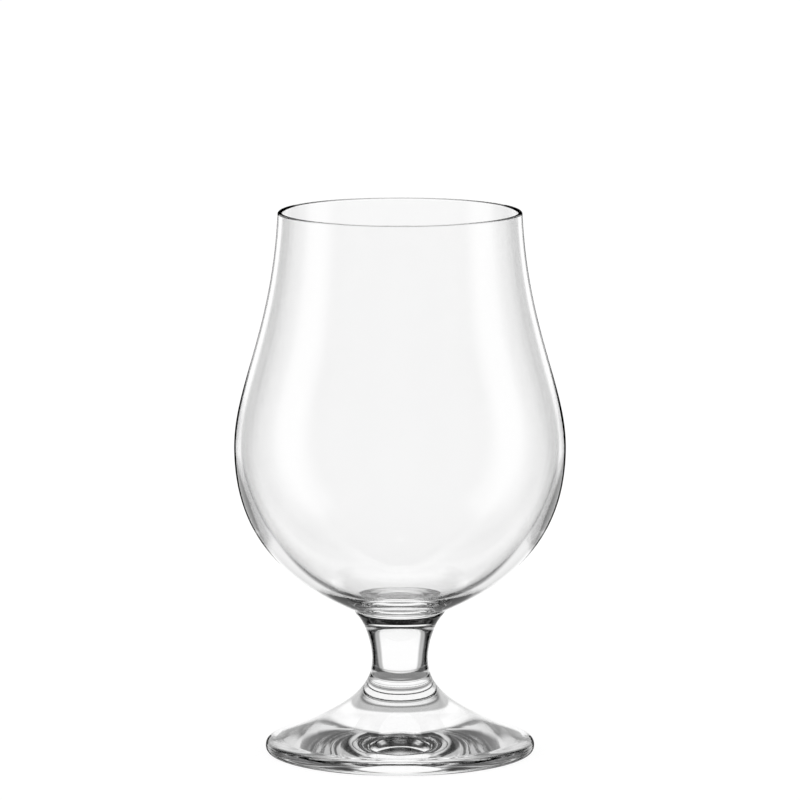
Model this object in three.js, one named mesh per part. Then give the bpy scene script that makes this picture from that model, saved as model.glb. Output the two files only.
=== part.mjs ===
// A stemmed tulip beer glass in clear glass: a blown bowl, a drawn stem and a pressed foot,
// each formed by itself and fused hot, face to face, at two flat seams.
// Millimetres, +Z up, origin at the centre of the ring that the foot rests on.
import * as THREE from 'three';

// Bowl, outside
const BOWL_HEIGHT = 110.4;
const RIM_RADIUS = 33.52;
const RIM_LEAN = THREE.MathUtils.degToRad(2.7);
const RIM_HANDLE = 32.3;
const BELLY_RADIUS = 45.605;
const BELLY_ABOVE_WELD = 45.32;
const BELLY_HANDLE_UP = 16.8;
const BELLY_HANDLE_DOWN = 23.3;
const UNDERSIDE_SLOPE = THREE.MathUtils.degToRad(23.6);
const UNDERSIDE_HANDLE = 22.7;

// Bowl, inside
const LIP_WALL = 1.3;
const BELLY_WALL = 1.85;
const INNER_BELLY_RISE = 0.81;
const INNER_RIM_HANDLE = 32.6;
const INNER_HANDLE_UP = 17.6;
const INNER_HANDLE_DOWN = 20.83;
const KNEE_RADIUS = 12.26;
const KNEE_HEIGHT = 4.07;
const KNEE_SLOPE = THREE.MathUtils.degToRad(18.2);
const KNEE_HANDLE_OUT = 18.4;
const KNEE_HANDLE_IN = 5.25;
const FLOOR_THICKNESS = 3.3;
const FLOOR_HANDLE = 4.23;

// Stem
const WELD_HEIGHT = 39.6;
const WELD_RADIUS = 12.5;
const SHOULDER_FILLET = 0.8;
const SHOULDER_ANGLE = THREE.MathUtils.degToRad(44);
const SHOULDER_HANDLE = 2.72;
const WAIST_RADIUS = 7.7;
const WAIST_HEIGHT = 25.3;
const WAIST_HANDLE_UP = 5.9;
const WAIST_HANDLE_DOWN = 9.7;
const SEAM_HEIGHT = 16.5;

// Foot
const FOOT_RADIUS = 37.13;
const EDGE_HEIGHT = 1.52;
const EDGE_HANDLE = 2.4;
const SKIRT_RADIUS = 33.3;
const SKIRT_HEIGHT = 4.17;
const SKIRT_SLOPE = THREE.MathUtils.degToRad(22.3);
const SKIRT_HANDLE_IN = 15;
const SKIRT_HANDLE_OUT = 1.1;
const EDGE_ROUNDING = 1.09;
const REST_RING_WIDTH = 1.6;
const PUNT_DEPTH = 3.32;
const PUNT_HANDLE = 11;
const PUNT_RIM_HANDLE = 6.9;

// Facets
const SIDES = 60;
const LONG_STEPS = 11;
const SHORT_STEPS = 4;
const LIP_STEPS = 6;

const UP = Math.PI / 2;

// A point of a profile: distance from the axis, then height.
function at(radius, height) {
  return new THREE.Vector2(radius, height);
}

// The point reached from another one by going a length in a direction, with 0 outward and 90 degrees up.
function along(point, angle, length) {
  return at(point.x + length * Math.cos(angle), point.y + length * Math.sin(angle));
}

function bend(start, startHandle, endHandle, end) {
  return new THREE.CubicBezierCurve(start, startHandle, endHandle, end);
}

function line(start, end) {
  return new THREE.LineCurve(start, end);
}

// The part of a falling curve where it passes a height, found by halving the range.
function parameterAtHeight(curve, height) {
  let above = 0;
  let below = 1;
  for (let i = 0; i < 50; i += 1) {
    const middle = (above + below) / 2;
    if (curve.getPoint(middle).y > height) {
      above = middle;
    } else {
      below = middle;
    }
  }
  return (above + below) / 2;
}

// Both halves of a cubic curve, cut at a parameter.
function split(curve, t) {
  const { v0, v1, v2, v3 } = curve;
  const a = v0.clone().lerp(v1, t);
  const b = v1.clone().lerp(v2, t);
  const c = v2.clone().lerp(v3, t);
  const d = a.clone().lerp(b, t);
  const e = b.clone().lerp(c, t);
  const cut = d.clone().lerp(e, t);
  return [bend(v0, a, d, cut), bend(cut, e, c, v3)];
}

function reversed(curve) {
  return bend(curve.v3, curve.v2, curve.v1, curve.v0);
}

// Joins stretches of curve into one profile, each cut into its own number of steps.
function trace(...stretches) {
  const points = [stretches[0][0].getPoint(0)];
  for (const [curve, steps] of stretches) {
    points.push(...curve.getPoints(steps).slice(1));
  }
  return points;
}

// Turns a profile round the vertical axis into a named glass solid.
function turned(name, profile) {
  const geometry = new THREE.LatheGeometry(profile, SIDES);
  geometry.rotateX(UP);
  const glass = new THREE.MeshStandardMaterial({
    color: 0xf3f5f5,
    roughness: 0.02,
    metalness: 0,
    transparent: true,
    opacity: 0.35,
  });
  const mesh = new THREE.Mesh(geometry, glass);
  mesh.name = name;
  return mesh;
}

// The flare from the waist out to the foot's edge is one curve, cut where stem and foot are fused.
function flareHalves() {
  const waist = at(WAIST_RADIUS, WAIST_HEIGHT);
  const skirt = at(SKIRT_RADIUS, SKIRT_HEIGHT);
  const flare = bend(
    waist,
    along(waist, -UP, WAIST_HANDLE_DOWN),
    along(skirt, Math.PI - SKIRT_SLOPE, SKIRT_HANDLE_IN),
    skirt,
  );
  return split(flare, parameterAtHeight(flare, SEAM_HEIGHT));
}

// The bowl: a flat weld face, the swelling outside, a fire-polished lip and the smooth inside.
function bowl() {
  const weld = at(WELD_RADIUS, WELD_HEIGHT);
  const belly = at(BELLY_RADIUS, WELD_HEIGHT + BELLY_ABOVE_WELD);
  const lipRadius = LIP_WALL / 2;
  const lipCentre = at(RIM_RADIUS - lipRadius, WELD_HEIGHT + BOWL_HEIGHT - lipRadius);
  const rimOutside = along(lipCentre, RIM_LEAN, lipRadius);
  const rimInside = along(lipCentre, RIM_LEAN + Math.PI, lipRadius);
  const innerBelly = at(BELLY_RADIUS - BELLY_WALL, belly.y + INNER_BELLY_RISE);
  const knee = at(KNEE_RADIUS, WELD_HEIGHT + KNEE_HEIGHT);
  const floor = at(0, WELD_HEIGHT + FLOOR_THICKNESS);

  const underside = bend(
    weld,
    along(weld, UNDERSIDE_SLOPE, UNDERSIDE_HANDLE),
    along(belly, -UP, BELLY_HANDLE_DOWN),
    belly,
  );
  const side = bend(
    belly,
    along(belly, UP, BELLY_HANDLE_UP),
    along(rimOutside, RIM_LEAN - UP, RIM_HANDLE),
    rimOutside,
  );
  const lip = new THREE.EllipseCurve(
    lipCentre.x, lipCentre.y, lipRadius, lipRadius, RIM_LEAN, RIM_LEAN + Math.PI,
  );
  const innerSide = bend(
    rimInside,
    along(rimInside, RIM_LEAN - UP, INNER_RIM_HANDLE),
    along(innerBelly, UP, INNER_HANDLE_UP),
    innerBelly,
  );
  const innerUnderside = bend(
    innerBelly,
    along(innerBelly, -UP, INNER_HANDLE_DOWN),
    along(knee, KNEE_SLOPE, KNEE_HANDLE_OUT),
    knee,
  );
  const innerFloor = bend(
    knee,
    along(knee, KNEE_SLOPE + Math.PI, KNEE_HANDLE_IN),
    along(floor, 0, FLOOR_HANDLE),
    floor,
  );
  return turned('bowl', trace(
    [line(at(0, WELD_HEIGHT), weld), 1],
    [underside, LONG_STEPS],
    [side, LONG_STEPS],
    [lip, LIP_STEPS],
    [innerSide, LONG_STEPS],
    [innerUnderside, LONG_STEPS],
    [innerFloor, SHORT_STEPS],
  ));
}

// The stem: a waisted solid with a rounded shoulder under the bowl and the start of the foot's flare.
function stem() {
  const [upperFlare] = flareHalves();
  const seam = upperFlare.v3;
  const waist = upperFlare.v0;
  const weld = at(WELD_RADIUS, WELD_HEIGHT);
  const corner = along(weld, -UP, SHOULDER_FILLET);
  const shoulder = along(corner, -UP - SHOULDER_ANGLE, SHOULDER_FILLET);

  const neck = bend(
    waist,
    along(waist, UP, WAIST_HANDLE_UP),
    along(shoulder, -UP - SHOULDER_ANGLE, SHOULDER_HANDLE),
    shoulder,
  );
  const fillet = new THREE.QuadraticBezierCurve(shoulder, corner, weld);
  return turned('stem', trace(
    [line(at(0, seam.y), seam), 1],
    [reversed(upperFlare), SHORT_STEPS],
    [neck, LONG_STEPS],
    [fillet, SHORT_STEPS],
    [line(weld, at(0, WELD_HEIGHT)), 1],
  ));
}

// The foot: a flared disc with a rounded edge, hollowed underneath so that it rests on a flat ring.
function foot() {
  const [, lowerFlare] = flareHalves();
  const seam = lowerFlare.v0;
  const skirt = lowerFlare.v3;
  const edge = at(FOOT_RADIUS, EDGE_HEIGHT);
  const ringOutside = at(FOOT_RADIUS - EDGE_ROUNDING, 0);
  const ringInside = at(ringOutside.x - REST_RING_WIDTH, 0);
  const puntTop = at(0, PUNT_DEPTH);

  const punt = bend(
    puntTop,
    along(puntTop, 0, PUNT_HANDLE),
    along(ringInside, Math.PI, PUNT_RIM_HANDLE),
    ringInside,
  );
  const rounding = new THREE.EllipseCurve(
    ringOutside.x, EDGE_HEIGHT, EDGE_ROUNDING, EDGE_HEIGHT, -UP, 0,
  );
  const brow = bend(
    edge,
    along(edge, UP, EDGE_HANDLE),
    along(skirt, -SKIRT_SLOPE, SKIRT_HANDLE_OUT),
    skirt,
  );
  return turned('foot', trace(
    [punt, SHORT_STEPS + SHORT_STEPS],
    [line(ringInside, ringOutside), 1],
    [rounding, SHORT_STEPS],
    [brow, SHORT_STEPS],
    [reversed(lowerFlare), LONG_STEPS],
    [line(seam, at(0, seam.y)), 1],
  ));
}

const glass = new THREE.Group();
glass.name = 'beer_glass';
glass.add(bowl(), stem(), foot());

export default glass;
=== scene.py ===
"""A clear stemmed tulip beer glass, fused from a bowl, a stem and a foot, in a white studio."""
import math

import bmesh
import bpy
from bpy.props import FloatProperty, FloatVectorProperty, PointerProperty
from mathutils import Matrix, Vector


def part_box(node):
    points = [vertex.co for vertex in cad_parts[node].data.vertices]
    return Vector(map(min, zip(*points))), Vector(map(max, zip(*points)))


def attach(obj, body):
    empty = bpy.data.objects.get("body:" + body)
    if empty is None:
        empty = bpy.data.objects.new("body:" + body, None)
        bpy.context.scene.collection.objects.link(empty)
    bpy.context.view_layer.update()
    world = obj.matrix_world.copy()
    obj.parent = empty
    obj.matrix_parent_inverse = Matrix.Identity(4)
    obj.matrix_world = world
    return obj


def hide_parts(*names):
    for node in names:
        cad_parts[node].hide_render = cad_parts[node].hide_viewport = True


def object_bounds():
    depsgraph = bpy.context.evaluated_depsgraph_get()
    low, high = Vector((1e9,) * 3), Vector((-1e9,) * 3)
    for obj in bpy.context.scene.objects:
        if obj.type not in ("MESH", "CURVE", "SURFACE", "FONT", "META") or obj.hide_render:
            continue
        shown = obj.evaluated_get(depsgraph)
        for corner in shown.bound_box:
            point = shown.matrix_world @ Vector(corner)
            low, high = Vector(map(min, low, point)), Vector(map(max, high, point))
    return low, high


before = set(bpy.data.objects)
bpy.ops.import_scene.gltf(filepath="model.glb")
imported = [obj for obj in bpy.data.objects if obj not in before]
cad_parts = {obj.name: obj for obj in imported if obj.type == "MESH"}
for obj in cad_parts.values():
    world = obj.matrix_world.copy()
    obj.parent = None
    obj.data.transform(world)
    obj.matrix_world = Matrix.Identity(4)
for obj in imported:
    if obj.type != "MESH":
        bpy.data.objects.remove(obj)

bl_info = {
    "name": "Tulip beer glass",
    "version": (1, 0, 0),
    "blender": (4, 5, 0),
    "location": "View3D > Sidebar > Beer glass",
    "description": "Builds a clear stemmed beer glass and the white studio that it stands in",
    "category": "Add Mesh",
}


def in_radians(*degrees):
    """Angles given in degrees, as the radians that shader nodes use."""
    return tuple(math.radians(value) for value in degrees)


MM = 0.001
BODY = "root"
CAD_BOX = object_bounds()
BOWL_LOW, BOWL_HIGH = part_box("bowl")
STEM_LOW, STEM_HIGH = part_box("stem")
FOOT_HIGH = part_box("foot")[1]

# Directions in a profile, in degrees
OUT = 0.0
UP = 90.0
IN = 180.0
DOWN = -90.0

# Turned pieces: steps round the axis, and the short step at each end of a stretch, as a share of it
ROUND_STEPS = 192
END_STEP = 0.004
SEAM_HALVINGS = 50
SEAM_TOLERANCE = 0.001 * MM
MERGE_DISTANCE = 0.0001 * MM
SLIVER = 0.00005 * MM

# Steps along the stretches of the profiles
UNDERSIDE_STEPS = 56
WALL_STEPS = 48
LIP_STEPS = 16
FLOOR_STEPS = 16
NECK_STEPS = 40
SHOULDER_STEPS = 10
STEM_FLARE_STEPS = 24
FOOT_FLARE_STEPS = 60
BROW_STEPS = 20
EDGE_STEPS = 12
RING_STEPS = 4
PUNT_STEPS = 48

# Waves in the surface per metre: long upright ones where glass is blown or drawn, round ones where pressed
BLOWN_GRAIN = (80, 80, 35)
DRAWN_GRAIN = (170, 170, 30)
PRESSED_GRAIN = (110, 110, 110)
WAVE_DETAIL = 1.0

# In every span below, something is full at the first number and gone at the second

# Marks on the glass: the noise's scale, its detail and the span of it that shows
PRINT_SCALE = 55.0
PRINT_DETAIL = 3.0
PRINT_SPAN = (0.72, 0.56)
SCUFF_SCALE = 900.0
SCUFF_DETAIL = 4.0
SCUFF_SPAN = (0.62, 0.45)
RESTING_SPAN = (0.02 * MM, 0.15 * MM)

# The light tent seen through the glass, by the turn from straight behind it and the rise from level
PANE_INNER = in_radians(27, 33)
PANE_OUTER = in_radians(38, 45)
PANE_INNER_SHARE = 0.55
WINDOW_TOP = in_radians(53, 63)
WINDOW_POWER = 1.02
# A dark band low in the window: the glass's shadow on the table behind it, painted
PAINTED_SHADOW_RISE = math.radians(-40)
PAINTED_SHADOW_HALF_HEIGHT = in_radians(3, 9)
PAINTED_SHADOW_DEPTH = 0.9
STRIP_TURN = math.radians(91)
STRIP_HALF_WIDTH = in_radians(7, 25)
STRIP_TOP = in_radians(38, 54)
STRIP_POWER = 0.7
GROUND_REACH = in_radians(98, 112)
GROUND_TOP = in_radians(-42, -27)
GROUND_POWER = 0.63

# The light tent mirrored on the glass: a back wall in three levels, the sides and the front
BACK_REACH = in_radians(48, 70)
BACK_EDGE = in_radians(31, 42)
BACK_LOW_POWER = 0.35
BACK_MIDDLE = in_radians(-18, -27)
BACK_MIDDLE_POWER = 0.65
BACK_HIGH = in_radians(30, 14)
BACK_HIGH_POWER = 0.25
SIDE_TOP = in_radians(14, 28)
SIDE_POWER = 1.5
SIDE_SHADE = in_radians(-45, -20)
FRONT_REACH = in_radians(130, 100)
FRONT_TOP = in_radians(28, 46)
FRONT_POWER = 1.3

# The disc of polished table under the foot, with the glass's shadow on it painted in a dim glow, lighter
# behind and beside; by the distance from its centre and the turn round it
DISC_RADIUS = 42 * MM
DISC_EDGE = (41 * MM, DISC_RADIUS)
DISC_CENTRE = (19 * MM, 20.5 * MM)
DISC_CENTRE_POWER = 0.19
DISC_BEHIND = in_radians(15, 27)
RING_POWER = 0.1
RING_BEHIND_POWER = 0.9
RIM_ZONE = (26 * MM, 23 * MM)
RIM_POWER = 0.08
RIM_BEHIND_POWER = 0.45
RIM_BESIDE_POWER = 0.65
RIM_BESIDE_ZONE = (36 * MM, 30 * MM)
RIM_BESIDE_TURN = math.radians(75)
RIM_BESIDE_HALF_WIDTH = in_radians(8, 26)

# How slanted the light is that still meets the disc and the cards: 0 is square on and 1 is edge on
DISC_SLANT = (0.34, 0.43)
CARD_SLANT = (0.25, 0.45)
EVEN_FACING = 0.5

# Light from right above meets the disc only under the stem
DISC_FROM_ABOVE = (0.05, 0.1)
DISC_OUTSIDE_STEM = (17 * MM, 13 * MM)

# The dark cards just behind the glass, cut to the bowl's side, which its edges mirror as an outline
CARD_BEHIND = 15 * MM
CARD_START = 0.3 * MM
CARD_WIDTH = 6.6 * MM
CARD_DROP = 1.8 * MM
CARD_LOW = 50 * MM
CARD_TAPER = 6 * MM
CARD_FIRST_POINT = 2
CARD_STRIDE = 3
RIM_CARD = (16 * MM, 40 * MM)
RIM_CARD_BELOW = 1 * MM
RIM_CARD_ABOVE = 15 * MM
FOOT_CARD_TOP = 5 * MM
FOOT_CARD_BOTTOM = -13 * MM
FOOT_CARD_SPREAD = 4.5 * MM

# The table and the stage's meshes
TABLE_BELOW = 0.02 * MM
DISC_BELOW = 0.01 * MM
TABLE_REACH = 1.2
TABLE_GLOW = 0.9
TABLE_GREY = (0.14, 0.14, 0.14, 1.0)
WHITE = (1.0, 1.0, 1.0, 1.0)
STAGE_STEPS = 96
SENSOR_WIDTH = 36.0

# Thick clear glass needs many bounces
ALL_BOUNCES = 32
GLASS_BOUNCES = 24


def length(name, metres, description):
    """A length that a user may change, in Blender's own unit."""
    return FloatProperty(name=name, description=description, default=metres, unit="LENGTH", precision=5)


def angle(name, degrees, description):
    """An angle that a user may change, kept in radians and shown in degrees."""
    return FloatProperty(name=name, description=description, default=math.radians(degrees), subtype="ANGLE")


def amount(name, value, description):
    """A plain number that a user may change."""
    return FloatProperty(name=name, description=description, default=value, precision=4)


class BowlSizes(bpy.types.PropertyGroup):
    """Sizes of the blown bowl."""
    rim_radius: length("Rim radius", 33.52 * MM, "Outside radius at the lip")
    rim_lean: angle("Rim lean", 2.7, "Lean of the side towards the axis where it reaches the lip")
    rim_handle: length("Rim run", 32.3 * MM, "How far the side keeps that lean below the lip")
    belly_radius: length("Belly radius", BOWL_HIGH.x, "Outside radius where the bowl is widest")
    belly_above_weld: length("Belly height", 45.32 * MM, "Height of the widest place above the weld")
    belly_handle_up: length("Belly run up", 16.8 * MM, "How far the side stays upright above the belly")
    belly_handle_down: length("Belly run down", 23.3 * MM, "How far the side stays upright below the belly")
    underside_slope: angle("Underside slope", 23.6, "Rise of the underside where it leaves the weld")
    underside_handle: length("Underside run", 22.7 * MM, "How far the underside keeps that slope")
    lip_wall: length("Lip wall", 1.3 * MM, "Thickness of the fire-polished lip")
    belly_wall: length("Belly wall", 1.85 * MM, "Thickness of the wall at the belly")
    inner_belly_rise: length(
        "Inner belly rise", 0.81 * MM, "How far the widest place inside lies above the outside")
    inner_rim_handle: length(
        "Inner rim run", 32.6 * MM, "How far the inside keeps the rim's lean below the lip")
    inner_handle_up: length(
        "Inner run up", 17.6 * MM, "How far the inside stays upright above its belly")
    inner_handle_down: length(
        "Inner run down", 20.83 * MM, "How far the inside stays upright below its belly")
    knee_radius: length("Floor radius", 12.26 * MM, "Distance from the axis where the inside turns level")
    knee_height: length("Floor rise", 4.07 * MM, "Height of that place above the weld")
    knee_slope: angle("Floor slope", 18.2, "Rise of the inside at that place")
    knee_handle_out: length("Floor run out", 18.4 * MM, "How far the inside keeps that rise outwards")
    knee_handle_in: length("Floor run in", 5.25 * MM, "How far the inside keeps that rise inwards")
    floor_thickness: length("Floor", 3.3 * MM, "Glass between the weld and the middle of the floor")
    floor_handle: length("Floor run", 4.23 * MM, "How far the floor stays level from the middle")


class StemSizes(bpy.types.PropertyGroup):
    """Sizes of the drawn stem."""
    weld_radius: length("Weld radius", STEM_HIGH.x, "Radius of the face that the bowl is fused to")
    shoulder_fillet: length("Shoulder rounding", 0.8 * MM, "Rounding of the edge under the bowl")
    shoulder_angle: angle("Shoulder flare", 44.0, "Lean of the neck where it reaches the shoulder")
    shoulder_handle: length("Shoulder run", 2.72 * MM, "How far the neck keeps that lean")
    waist_radius: length("Waist radius", 7.70 * MM, "Radius where the stem is thinnest")
    waist_height: length("Waist height", 25.3 * MM, "Height of the thinnest place above the table")
    waist_handle_up: length("Waist run up", 5.9 * MM, "How far the stem stays upright above the waist")
    waist_handle_down: length("Waist run down", 9.7 * MM, "How far the stem stays upright below the waist")


class FootSizes(bpy.types.PropertyGroup):
    """Sizes of the pressed foot."""
    foot_radius: length("Foot radius", FOOT_HIGH.x, "Radius of the foot at its edge")
    edge_height: length("Edge height", 1.52 * MM, "Height of the widest place of the edge above the table")
    edge_rounding: length("Edge rounding", 1.09 * MM, "How far the edge is rounded in to the table")
    edge_handle: length("Edge run", 2.4 * MM, "How far the edge stays upright")
    skirt_radius: length("Skirt radius", 33.3 * MM, "Radius where the flare runs into the edge")
    skirt_height: length("Skirt height", 4.17 * MM, "Height of that place above the table")
    skirt_slope: angle("Skirt slope", 22.3, "Fall of the flare at that place")
    skirt_handle_in: length("Skirt run in", 15.0 * MM, "How far the flare keeps that fall inwards")
    skirt_handle_out: length("Skirt run out", 1.1 * MM, "How far the flare keeps that fall outwards")
    ring_width: length("Resting ring", 0.9 * MM, "Width of the flat ring that touches the table")
    punt_depth: length("Hollow depth", 3.32 * MM, "Depth of the hollow under the foot")
    punt_handle: length("Hollow run", 11.0 * MM, "How far the top of the hollow stays level")
    punt_rim_handle: length("Hollow rim run", 6.9 * MM, "How far the hollow runs level into the ring")


class GlassLook(bpy.types.PropertyGroup):
    """Finish of the glass."""
    colour: FloatVectorProperty(
        name="Colour", description="Tint of the clear glass", subtype="COLOR", size=4,
        min=0.0, max=1.0, default=WHITE)
    refraction: amount("Refraction", 1.515, "Refractive index of table glass")
    wave_height: length(
        "Wave height", 0.02 * MM, "Height of the faint waves that forming leaves in the surface")
    smudge: amount("Smudges", 0.05, "Roughness of the finger smudges")
    scuff: amount("Scuffs", 0.16, "Roughness of the scuffs on the ring that the foot rests on")


class StudioLook(bpy.types.PropertyGroup):
    """Camera and light of the white studio."""
    camera_distance: length("Camera distance", 1.78384, "Camera's distance in front of the glass")
    camera_height: length("Camera height", 0.36134, "Camera's height above the table")
    camera_pitch: angle("Camera pitch", 8.403, "Camera's tilt below the horizon")
    lens: amount("Lens", 295.38, "Focal length on a 36 mm sensor")
    tent_radius: length("Tent radius", 6.0, "Radius of the light tent round the glass")


# Profiles: points are (distance from the axis, height), in metres

def at(radius, height):
    """A point of a profile."""
    return Vector((radius, height))


def along(point, degrees, run):
    """The point reached from another by a run in a direction."""
    turn = math.radians(degrees)
    return at(point.x + run * math.cos(turn), point.y + run * math.sin(turn))


def bend(start, start_handle, end_handle, end):
    """A cubic curve as a function of a parameter from 0 to 1."""
    def point(t):
        u = 1.0 - t
        return (start * u ** 3 + start_handle * (3 * u * u * t)
                + end_handle * (3 * u * t * t) + end * t ** 3)
    return point


def straight(start, end):
    """A straight line as such a function."""
    return lambda t: start.lerp(end, t)


def rounded(start, corner, end):
    """A round corner: the cubic curve that one handle at the corner gives."""
    return bend(start, start.lerp(corner, 2 / 3), end.lerp(corner, 2 / 3), end)


def arc(centre, radius, height, start, end):
    """Part of an ellipse between two directions."""
    def point(t):
        turn = math.radians(start + (end - start) * t)
        return at(centre.x + radius * math.cos(turn), centre.y + height * math.sin(turn))
    return point


def sample(curve, steps, start=0.0, end=1.0):
    """Points along part of a curve, with one very short step at each end to hold its direction there."""
    span = end - start
    inner = [start + span * i / steps for i in range(1, steps)]
    marks = [start, start + span * END_STEP, *inner, end - span * END_STEP, end]
    return [curve(t) for t in marks]


def joined(*stretches):
    """One profile from several stretches that meet end to end."""
    points = list(stretches[0])
    for stretch in stretches[1:]:
        points.extend(stretch[1:])
    return points


def parameter_at_height(curve, height):
    """Where a falling curve passes a height, found by halving."""
    above, below = 0.0, 1.0
    for _ in range(SEAM_HALVINGS):
        middle = (above + below) / 2
        if curve(middle).y > height:
            above = middle
        else:
            below = middle
    return (above + below) / 2


def flare_curve(stem, foot):
    """The one curve that runs from the stem's waist out to the foot's edge."""
    waist = at(stem.waist_radius, stem.waist_height)
    skirt = at(foot.skirt_radius, foot.skirt_height)
    slope = math.degrees(foot.skirt_slope)
    return bend(
        waist,
        along(waist, DOWN, stem.waist_handle_down),
        along(skirt, IN - slope, foot.skirt_handle_in),
        skirt)


def bowl_profile(bowl, stem):
    """The weld face, the outside up to the lip, and the inside down to the floor."""
    weld = at(stem.weld_radius, BOWL_LOW.z)
    belly = at(bowl.belly_radius, weld.y + bowl.belly_above_weld)
    lip_radius = bowl.lip_wall / 2
    lip_centre = at(bowl.rim_radius - lip_radius, BOWL_HIGH.z - lip_radius)
    lean = math.degrees(bowl.rim_lean)
    rim_outside = along(lip_centre, lean, lip_radius)
    rim_inside = along(lip_centre, IN + lean, lip_radius)
    inner_belly = at(bowl.belly_radius - bowl.belly_wall, belly.y + bowl.inner_belly_rise)
    knee = at(bowl.knee_radius, weld.y + bowl.knee_height)
    knee_slope = math.degrees(bowl.knee_slope)
    floor = at(0.0, weld.y + bowl.floor_thickness)
    slope = math.degrees(bowl.underside_slope)
    underside = bend(
        weld,
        along(weld, slope, bowl.underside_handle),
        along(belly, DOWN, bowl.belly_handle_down),
        belly)
    side = bend(
        belly,
        along(belly, UP, bowl.belly_handle_up),
        along(rim_outside, lean + DOWN, bowl.rim_handle),
        rim_outside)
    inner_side = bend(
        rim_inside,
        along(rim_inside, lean + DOWN, bowl.inner_rim_handle),
        along(inner_belly, UP, bowl.inner_handle_up),
        inner_belly)
    inner_underside = bend(
        inner_belly,
        along(inner_belly, DOWN, bowl.inner_handle_down),
        along(knee, knee_slope, bowl.knee_handle_out),
        knee)
    inner_floor = bend(
        knee,
        along(knee, IN + knee_slope, bowl.knee_handle_in),
        along(floor, OUT, bowl.floor_handle),
        floor)
    return joined(
        [at(0.0, weld.y), weld],
        sample(underside, UNDERSIDE_STEPS),
        sample(side, WALL_STEPS),
        sample(arc(lip_centre, lip_radius, lip_radius, lean, IN + lean), LIP_STEPS),
        sample(inner_side, WALL_STEPS),
        sample(inner_underside, WALL_STEPS),
        sample(inner_floor, FLOOR_STEPS))


def stem_profile(stem, foot):
    """The seam to the foot, the start of the flare, the neck, the shoulder and the weld face."""
    weld = at(stem.weld_radius, STEM_HIGH.z)
    corner = along(weld, DOWN, stem.shoulder_fillet)
    lean = DOWN - math.degrees(stem.shoulder_angle)
    shoulder = along(corner, lean, stem.shoulder_fillet)
    waist = at(stem.waist_radius, stem.waist_height)
    flare = flare_curve(stem, foot)
    seam_at = parameter_at_height(flare, STEM_LOW.z)
    seam = at(flare(seam_at).x, STEM_LOW.z)
    neck = bend(
        waist,
        along(waist, UP, stem.waist_handle_up),
        along(shoulder, lean, stem.shoulder_handle),
        shoulder)
    return joined(
        [at(0.0, seam.y), seam],
        sample(flare, STEM_FLARE_STEPS, seam_at, 0.0),
        sample(neck, NECK_STEPS),
        sample(rounded(shoulder, corner, weld), SHOULDER_STEPS),
        [weld, at(0.0, weld.y)])


def foot_profile(stem, foot):
    """The hollow underneath, the resting ring, the rounded edge, the flare and the seam to the stem."""
    flare = flare_curve(stem, foot)
    seam_at = parameter_at_height(flare, FOOT_HIGH.z)
    seam = at(flare(seam_at).x, FOOT_HIGH.z)
    skirt = flare(1.0)
    edge = at(foot.foot_radius, foot.edge_height)
    edge_centre = at(foot.foot_radius - foot.edge_rounding, foot.edge_height)
    ring_outside = at(edge_centre.x, 0.0)
    ring_inside = along(ring_outside, IN, foot.ring_width)
    punt_top = at(0.0, foot.punt_depth)
    slope = math.degrees(foot.skirt_slope)
    punt = bend(
        punt_top,
        along(punt_top, OUT, foot.punt_handle),
        along(ring_inside, IN, foot.punt_rim_handle),
        ring_inside)
    brow = bend(
        edge,
        along(edge, UP, foot.edge_handle),
        along(skirt, -slope, foot.skirt_handle_out),
        skirt)
    return joined(
        sample(punt, PUNT_STEPS),
        sample(straight(ring_inside, ring_outside), RING_STEPS),
        sample(arc(edge_centre, foot.edge_rounding, foot.edge_height, DOWN, OUT), EDGE_STEPS),
        sample(brow, BROW_STEPS),
        sample(flare, FOOT_FLARE_STEPS, 1.0, seam_at),
        [seam, at(0.0, seam.y)])


def linked_object(name, bm):
    """A new object in the scene that takes over a bmesh."""
    mesh = bpy.data.meshes.new(name)
    bm.to_mesh(mesh)
    bm.free()
    made = bpy.data.objects.new(name, mesh)
    bpy.context.scene.collection.objects.link(made)
    return made


def turned_piece(name, profile, seams):
    """A closed glass solid turned from a profile; faces fused to a neighbour take the second material."""
    bm = bmesh.new()
    verts = [bm.verts.new((p.x, 0.0, p.y)) for p in profile]
    edges = [bm.edges.new(pair) for pair in zip(verts, verts[1:])]
    bmesh.ops.spin(
        bm, geom=verts + edges, cent=(0, 0, 0), axis=(0, 0, 1), angle=math.tau,
        steps=ROUND_STEPS, use_merge=True)
    bmesh.ops.remove_doubles(bm, verts=bm.verts, dist=MERGE_DISTANCE)
    bmesh.ops.dissolve_degenerate(bm, edges=bm.edges, dist=SLIVER)
    bmesh.ops.recalc_face_normals(bm, faces=bm.faces)
    for face in bm.faces:
        fused = any(all(abs(v.co.z - z) < SEAM_TOLERANCE for v in face.verts) for z in seams)
        face.smooth = not fused
        face.material_index = 1 if fused else 0
    for edge in bm.edges:
        edge.smooth = len({face.material_index for face in edge.link_faces}) < 2
    return linked_object(name, bm)


# Materials

class Value:
    """A number socket that takes Python's arithmetic; each operation adds one Math node."""

    def __init__(self, shader, socket):
        self.shader = shader
        self.socket = socket

    def combine(self, operation, first, second):
        return self.shader.node("ShaderNodeMath", {"operation": operation}, {0: first, 1: second})

    def __add__(self, other):
        return self.combine("ADD", self, other)

    def __radd__(self, other):
        return self.combine("ADD", other, self)

    def __sub__(self, other):
        return self.combine("SUBTRACT", self, other)

    def __rsub__(self, other):
        return self.combine("SUBTRACT", other, self)

    def __mul__(self, other):
        return self.combine("MULTIPLY", self, other)

    def __rmul__(self, other):
        return self.combine("MULTIPLY", other, self)

    def __abs__(self):
        return self.shader.node("ShaderNodeMath", {"operation": "ABSOLUTE"}, {0: self})


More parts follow.
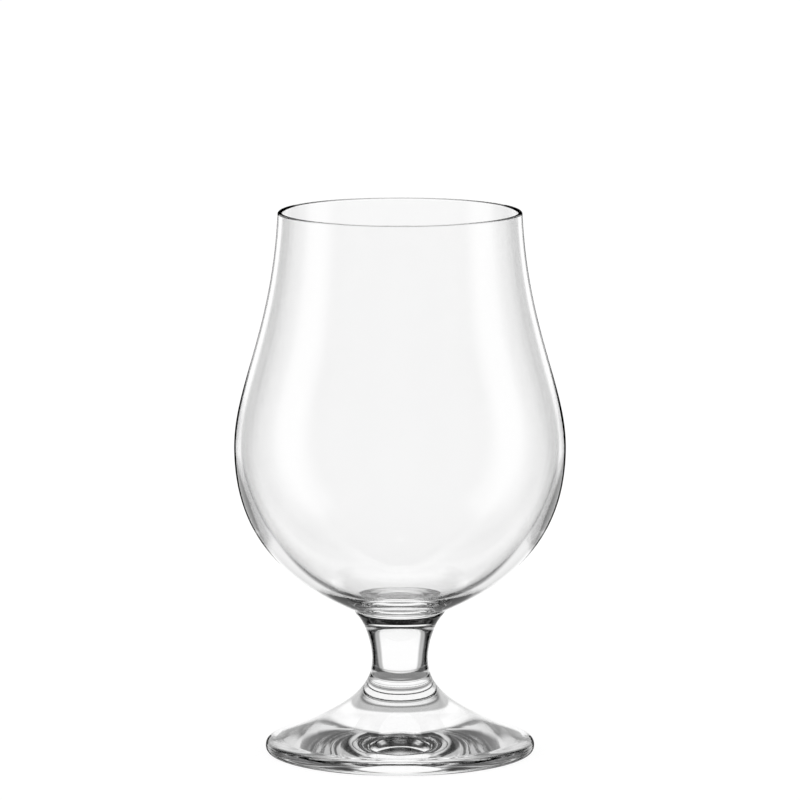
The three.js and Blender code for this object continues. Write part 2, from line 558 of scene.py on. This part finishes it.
class Shader:
    """A node tree that is written as expressions."""

    def __init__(self, owner):
        owner.use_nodes = True
        self.tree = owner.node_tree
        self.tree.nodes.clear()

    def node(self, kind, settings=None, sockets=None, output=0):
        """Adds a node, sets it, fills or links its inputs, and returns one of its outputs."""
        made = self.tree.nodes.new(kind)
        for name, value in (settings or {}).items():
            setattr(made, name, value)
        for name, value in (sockets or {}).items():
            if isinstance(value, Value):
                self.tree.links.new(value.socket, made.inputs[name])
            else:
                made.inputs[name].default_value = value
        return Value(self, made.outputs[output]) if made.outputs else None

    def also(self, value, output):
        """Another output of the node that a value comes from."""
        return Value(self, value.socket.node.outputs[output])

    def fade(self, value, span):
        """1 where a value is at the span's first number, 0 at its second, and a smooth step between."""
        full, gone = span
        start, end = (1.0, 0.0) if full < gone else (0.0, 1.0)
        return self.node(
            "ShaderNodeMapRange", {"interpolation_type": "SMOOTHSTEP"},
            {"Value": value, "From Min": min(span), "From Max": max(span), "To Min": start, "To Max": end})

    def larger(self, first, second):
        return self.node("ShaderNodeMath", {"operation": "MAXIMUM"}, {0: first, 1: second})

    def slant(self):
        """0 where a surface is seen square on, and 1 where it is seen edge on."""
        return self.node("ShaderNodeLayerWeight", {}, {"Blend": EVEN_FACING}, "Facing")

    def finish(self, surface):
        self.node("ShaderNodeOutputMaterial", {}, {"Surface": surface})

    def finish_partly(self, cover, surface):
        """Ends with a surface that lets light pass where the cover is gone."""
        clear = self.node("ShaderNodeBsdfTransparent")
        self.finish(self.node("ShaderNodeMixShader", {}, {0: cover, 1: clear, 2: surface}))


def clear_glass(name, look, grain):
    """Clear polished table glass: faint waves from the forming, finger smudges and a scuffed resting ring.

    The grain is how many waves a metre holds along x, y and z.
    """
    material = bpy.data.materials.new(name)
    shader = Shader(material)
    place = shader.node("ShaderNodeTexCoord", output="Object")
    stretched = shader.node("ShaderNodeVectorMath", {"operation": "MULTIPLY"}, {0: place, 1: grain})
    waves = shader.node(
        "ShaderNodeTexNoise", {}, {"Vector": stretched, "Scale": 1.0, "Detail": WAVE_DETAIL})
    normal = shader.node("ShaderNodeBump", {}, {"Distance": look.wave_height, "Height": waves})

    prints = shader.node(
        "ShaderNodeTexNoise", {}, {"Vector": place, "Scale": PRINT_SCALE, "Detail": PRINT_DETAIL})
    smudge = look.smudge * shader.fade(prints, PRINT_SPAN)
    streaks = shader.node(
        "ShaderNodeTexNoise", {}, {"Vector": place, "Scale": SCUFF_SCALE, "Detail": SCUFF_DETAIL})
    height = shader.node("ShaderNodeSeparateXYZ", {}, {0: place}, "Z")
    scuff = look.scuff * shader.fade(height, RESTING_SPAN) * shader.fade(streaks, SCUFF_SPAN)
    shader.finish(shader.node("ShaderNodeBsdfPrincipled", {}, {
        "Base Color": look.colour,
        "Roughness": shader.larger(smudge, scuff),
        "IOR": look.refraction,
        "Transmission Weight": 1.0,
        "Normal": normal,
    }))
    return material


def fused_seam():
    """The face where two pieces melted into one: no surface is left there to see."""
    material = bpy.data.materials.get("fused_seam")
    if material:
        return material
    material = bpy.data.materials.new("fused_seam")
    shader = Shader(material)
    shader.finish(shader.node("ShaderNodeBsdfPrincipled", {}, {"Alpha": 0.0}))
    return material


def finish_piece(piece, node, look, grain):
    """Gives a piece its glass and puts it in the place of its CAD node."""
    piece.data.materials.append(clear_glass(piece.name + "_glass", look, grain))
    piece.data.materials.append(fused_seam())
    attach(piece, BODY)
    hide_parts(node)


# Stage

def stage_object(name, bm, material):
    """A stage mesh with one material."""
    made = linked_object(name, bm)
    made.data.materials.append(material)
    return made


def show_only_in_glass(obj, refracted=True):
    """Leaves a stage object to be seen only mirrored on the glass and, if refracted, through it."""
    obj.visible_camera = False
    obj.visible_diffuse = False
    obj.visible_shadow = False
    obj.visible_volume_scatter = False
    obj.visible_transmission = refracted


def hang_on_camera(obj, camera):
    """Turns a stage object with the camera, as if the glass stood on a turntable in a fixed studio."""
    bpy.context.view_layer.update()
    obj.parent = camera
    obj.matrix_parent_inverse = camera.matrix_world.inverted()


def turn_with_camera(obj, camera):
    """Turns a stage object level about the glass's axis, so that its front stays towards the camera."""
    facing = obj.constraints.new("LOCKED_TRACK")
    facing.target = camera
    facing.track_axis = "TRACK_NEGATIVE_Y"
    facing.lock_axis = "LOCK_Z"


def turn_from_behind(shader, x, y):
    """The angle round the glass from straight behind it, alike to the left and to the right."""
    return abs(shader.node("ShaderNodeMath", {"operation": "ARCTAN2"}, {0: x, 1: y}))


def light_through(shader, turn, rise):
    """What shows through the glass: a window with a dark band low in it, painted for the glass's shadow on
    the table behind, a strip at each side and dim ground.
    """
    pane = PANE_INNER_SHARE * shader.fade(turn, PANE_INNER)
    pane = pane + (1.0 - PANE_INNER_SHARE) * shader.fade(turn, PANE_OUTER)
    post = shader.fade(abs(turn - STRIP_TURN), STRIP_HALF_WIDTH)
    between = (1.0 - pane) * (1.0 - post) * shader.fade(turn, GROUND_REACH)
    # Painted shadow: a dark band across the window below level, where the glass's shadow falls on the table
    # behind it
    painted_shadow = shader.fade(abs(rise - PAINTED_SHADOW_RISE), PAINTED_SHADOW_HALF_HEIGHT)
    window = pane * shader.fade(rise, WINDOW_TOP) * (1.0 - PAINTED_SHADOW_DEPTH * painted_shadow)
    strip = STRIP_POWER * post * shader.fade(rise, STRIP_TOP)
    ground = GROUND_POWER * between * shader.fade(rise, GROUND_TOP)
    return WINDOW_POWER * window + strip + ground


def light_mirrored(shader, turn, rise):
    """What the glass mirrors: a back wall, brighter higher up, and pale sides and front with a dark top."""
    on_back = BACK_LOW_POWER + BACK_MIDDLE_POWER * shader.fade(rise, BACK_MIDDLE)
    on_back = on_back + BACK_HIGH_POWER * shader.fade(rise, BACK_HIGH)
    on_back = on_back * shader.fade(turn, BACK_EDGE)
    on_side = shader.fade(rise, SIDE_TOP) * (SIDE_POWER - shader.fade(rise, SIDE_SHADE))
    on_front = FRONT_POWER * shader.fade(rise, FRONT_TOP)
    behind = shader.fade(turn, BACK_REACH)
    front = shader.fade(turn, FRONT_REACH)
    return on_side + behind * (on_back - on_side) + front * (on_front - on_side)


def tent_material():
    """The light tent's inside, with one pattern seen through the glass and another mirrored on it."""
    material = bpy.data.materials.new("tent_panels")
    shader = Shader(material)
    place = shader.node("ShaderNodeTexCoord", output="Object")
    way = shader.node("ShaderNodeVectorMath", {"operation": "NORMALIZE"}, {0: place})
    x = shader.node("ShaderNodeSeparateXYZ", {}, {0: way}, "X")
    turn = turn_from_behind(shader, x, shader.also(x, "Y"))
    rise = shader.node("ShaderNodeMath", {"operation": "ARCSINE"}, {0: shader.also(x, "Z")})
    through = light_through(shader, turn, rise)
    mirrored = light_mirrored(shader, turn, rise)
    refracted = shader.node("ShaderNodeLightPath", output="Is Transmission Ray")
    power = mirrored + refracted * (through - mirrored)
    shader.finish(shader.node("ShaderNodeEmission", {}, {"Color": power}))
    material.cycles.emission_sampling = "NONE"
    return material


def light_tent(camera, look):
    """A large ball of bright and dark panels round the glass."""
    bm = bmesh.new()
    bmesh.ops.create_uvsphere(
        bm, u_segments=STAGE_STEPS, v_segments=STAGE_STEPS // 2, radius=look.tent_radius)
    tent = stage_object("light_tent", bm, tent_material())
    tent.location.z = CAD_BOX[1].z / 2
    show_only_in_glass(tent)
    hang_on_camera(tent, camera)


def card_material():
    """Dull black card, which is there only for light that meets it nearly square on."""
    material = bpy.data.materials.new("dark_card")
    shader = Shader(material)
    dark = shader.node("ShaderNodeEmission", {}, {"Strength": 0.0})
    shader.finish_partly(shader.fade(shader.slant(), CARD_SLANT), dark)
    return material


def card_corner(side, bm, radius, height):
    """A corner of a card, on one side of the axis and a little behind it."""
    return bm.verts.new((side * radius, CARD_BEHIND, height))


def bowl_card(side, bm, profile):
    """A strip that follows the outside of the bowl and tapers to nothing at its low end."""
    top = profile.index(max(profile, key=lambda point: point.y))
    edge = [point for point in profile[CARD_FIRST_POINT:top:CARD_STRIDE] if point.y > CARD_LOW]
    chains = []
    for width in (0.0, CARD_WIDTH):
        verts = []
        for point, after in zip(edge, edge[1:]):
            way = (after - point).normalized()
            taper = min(1.0, (point.y - CARD_LOW) / CARD_TAPER)
            corner = point + (CARD_START + taper * width) * at(way.y, -way.x)
            verts.append(card_corner(side, bm, corner.x, corner.y - CARD_DROP))
        chains += [bm.edges.new(pair) for pair in zip(verts, verts[1:])]
    bmesh.ops.bridge_loops(bm, edges=chains)


def rim_card(side, bm):
    """A card behind one end of the rim."""
    heights = (BOWL_HIGH.z - RIM_CARD_BELOW, BOWL_HIGH.z + RIM_CARD_ABOVE)
    corners = [card_corner(side, bm, radius, height) for radius in RIM_CARD for height in heights]
    bmesh.ops.contextual_create(bm, geom=corners)


def foot_card(side, bm, foot_radius):
    """A card behind one end of the foot; the part below the table stands for its image in the polish."""
    start = foot_radius + CARD_START
    end = foot_radius + CARD_WIDTH
    bmesh.ops.contextual_create(bm, geom=[
        card_corner(side, bm, start, FOOT_CARD_TOP),
        card_corner(side, bm, start, FOOT_CARD_BOTTOM),
        card_corner(side, bm, end + FOOT_CARD_SPREAD, FOOT_CARD_BOTTOM),
        card_corner(side, bm, end, FOOT_CARD_TOP)])


def outline_cards(camera, profile, foot_radius):
    """Dark cards beside the bowl, the rim and the foot, which only their very edges mirror."""
    bm = bmesh.new()
    for side in (-1, 1):
        bowl_card(side, bm, profile)
        rim_card(side, bm)
        foot_card(side, bm, foot_radius)
    cards = stage_object("outline_cards", bm, card_material())
    show_only_in_glass(cards, refracted=False)
    turn_with_camera(cards, camera)


def disc_material():
    """Painted shadow of the glass on the polished table under the foot, lighter behind and beside: shown
    when seen steeply, and clear to the room at a slant.
    """
    material = bpy.data.materials.new("painted_shadow_table")
    shader = Shader(material)
    place = shader.node("ShaderNodeTexCoord", output="Object")
    x = shader.node("ShaderNodeSeparateXYZ", {}, {0: place}, "X")
    away = shader.node("ShaderNodeVectorMath", {"operation": "LENGTH"}, {0: place}, "Value")
    turn = turn_from_behind(shader, x, shader.also(x, "Y"))
    # Painted shadow of the glass on the table: dim under the stem and round the foot, lighter behind and
    # beside
    behind = shader.fade(turn, DISC_BEHIND)
    beside = shader.fade(abs(turn - RIM_BESIDE_TURN), RIM_BESIDE_HALF_WIDTH)
    ring = RING_POWER + RING_BEHIND_POWER * behind
    rim = RIM_POWER + RIM_BEHIND_POWER * behind
    rim = rim + RIM_BESIDE_POWER * beside * shader.fade(away, RIM_BESIDE_ZONE)
    power = ring + shader.fade(away, RIM_ZONE) * (rim - ring)
    power = power + shader.fade(away, DISC_CENTRE) * (DISC_CENTRE_POWER - power)
    light = shader.node("ShaderNodeEmission", {}, {"Color": power})

    slant = shader.slant()
    from_above = shader.fade(slant, DISC_FROM_ABOVE) * shader.fade(away, DISC_OUTSIDE_STEM)
    cover = shader.fade(away, DISC_EDGE) * shader.fade(slant, DISC_SLANT) * (1.0 - from_above)
    shader.finish_partly(cover, light)
    material.cycles.emission_sampling = "NONE"
    return material


def painted_shadow_disc(camera):
    """The patch of table under the glass, with the glass's shadow on it painted as a dim glow."""
    bm = bmesh.new()
    bmesh.ops.create_circle(bm, cap_ends=True, segments=STAGE_STEPS, radius=DISC_RADIUS)
    # The disc's glow paints the glass's shadow on the table, and the glass alone shows it
    disc = stage_object("painted_table_shadow", bm, disc_material())
    disc.location.z = -DISC_BELOW
    show_only_in_glass(disc)
    turn_with_camera(disc, camera)


def white_table(look):
    """The pale table, which the glass doesn't show because the tent and the disc stand for it there."""
    material = bpy.data.materials.new("white_table")
    shader = Shader(material)
    bare = shader.node("ShaderNodeEmission", {}, {"Strength": TABLE_GLOW})
    matt = shader.node("ShaderNodeBsdfDiffuse", {}, {"Color": TABLE_GREY})
    shader.finish(shader.node("ShaderNodeAddShader", {}, {0: bare, 1: matt}))
    material.cycles.emission_sampling = "NONE"
    bm = bmesh.new()
    bmesh.ops.create_circle(
        bm, cap_ends=True, segments=STAGE_STEPS, radius=look.tent_radius * TABLE_REACH)
    table = stage_object("white_table", bm, material)
    table.location.z = -TABLE_BELOW
    table.visible_glossy = False
    table.visible_transmission = False


def white_room(scene):
    """A plain white world."""
    scene.world = bpy.data.worlds.new("white_room")
    shader = Shader(scene.world)
    white = shader.node("ShaderNodeBackground", {}, {"Color": WHITE, "Strength": 1.0})
    shader.node("ShaderNodeOutputWorld", {}, {"Surface": white})


def packshot_camera(scene, look):
    """A long lens in front of the glass, above its rim and tilted down."""
    lens = bpy.data.cameras.new("packshot_camera")
    lens.sensor_width = SENSOR_WIDTH
    lens.lens = look.lens
    camera = bpy.data.objects.new("packshot_camera", lens)
    camera.location = (0.0, -look.camera_distance, look.camera_height)
    camera.rotation_euler = (math.radians(UP) - look.camera_pitch, 0.0, 0.0)
    scene.collection.objects.link(camera)
    scene.camera = camera
    return camera


# Operators

class BEERGLASS_OT_bowl(bpy.types.Operator):
    """Add the blown bowl"""
    bl_idname = "beerglass.bowl"
    bl_label = "Bowl"

    def execute(self, context):
        scene = context.scene
        profile = bowl_profile(scene.beerglass_bowl, scene.beerglass_stem)
        piece = turned_piece("blown_bowl", profile, [BOWL_LOW.z])
        finish_piece(piece, "bowl", scene.beerglass_look, BLOWN_GRAIN)
        return {"FINISHED"}


class BEERGLASS_OT_stem(bpy.types.Operator):
    """Add the drawn stem"""
    bl_idname = "beerglass.stem"
    bl_label = "Stem"

    def execute(self, context):
        scene = context.scene
        profile = stem_profile(scene.beerglass_stem, scene.beerglass_foot)
        piece = turned_piece("drawn_stem", profile, [STEM_LOW.z, STEM_HIGH.z])
        finish_piece(piece, "stem", scene.beerglass_look, DRAWN_GRAIN)
        return {"FINISHED"}


class BEERGLASS_OT_foot(bpy.types.Operator):
    """Add the pressed foot"""
    bl_idname = "beerglass.foot"
    bl_label = "Foot"

    def execute(self, context):
        scene = context.scene
        profile = foot_profile(scene.beerglass_stem, scene.beerglass_foot)
        piece = turned_piece("pressed_foot", profile, [FOOT_HIGH.z])
        finish_piece(piece, "foot", scene.beerglass_look, PRESSED_GRAIN)
        return {"FINISHED"}


class BEERGLASS_OT_stage(bpy.types.Operator):
    """Add the white table, the light tent and the camera"""
    bl_idname = "beerglass.stage"
    bl_label = "Stage"

    def execute(self, context):
        scene = context.scene
        look = scene.beerglass_studio
        scene.view_settings.view_transform = "Standard"
        camera = packshot_camera(scene, look)
        white_room(scene)
        white_table(look)
        light_tent(camera, look)
        profile = bowl_profile(scene.beerglass_bowl, scene.beerglass_stem)
        outline_cards(camera, profile, scene.beerglass_foot.foot_radius)
        painted_shadow_disc(camera)
        scene.cycles.max_bounces = ALL_BOUNCES
        scene.cycles.glossy_bounces = GLASS_BOUNCES
        scene.cycles.transmission_bounces = GLASS_BOUNCES
        scene.cycles.transparent_max_bounces = ALL_BOUNCES
        return {"FINISHED"}


OPERATORS = (
    BEERGLASS_OT_bowl,
    BEERGLASS_OT_stem,
    BEERGLASS_OT_foot,
    BEERGLASS_OT_stage,
)


class BEERGLASS_PT_panel(bpy.types.Panel):
    """Lists the steps that build the glass"""
    bl_idname = "BEERGLASS_PT_panel"
    bl_label = "Beer glass"
    bl_space_type = "VIEW_3D"
    bl_region_type = "UI"
    bl_category = "Beer glass"

    def draw(self, context):
        for operator in OPERATORS:
            self.layout.operator(operator.bl_idname)


GROUPS = {
    "beerglass_bowl": BowlSizes,
    "beerglass_stem": StemSizes,
    "beerglass_foot": FootSizes,
    "beerglass_look": GlassLook,
    "beerglass_studio": StudioLook,
}

CLASSES = (*GROUPS.values(), *OPERATORS, BEERGLASS_PT_panel)


def register():
    for cls in CLASSES:
        bpy.utils.register_class(cls)
    for name, group in GROUPS.items():
        setattr(bpy.types.Scene, name, PointerProperty(type=group))


def unregister():
    for name in GROUPS:
        delattr(bpy.types.Scene, name)
    for cls in reversed(CLASSES):
        bpy.utils.unregister_class(cls)


def main():
    register()
    bpy.ops.beerglass.bowl()
    bpy.ops.beerglass.stem()
    bpy.ops.beerglass.foot()
    bpy.ops.beerglass.stage()


if __name__ == "__main__":
    main()
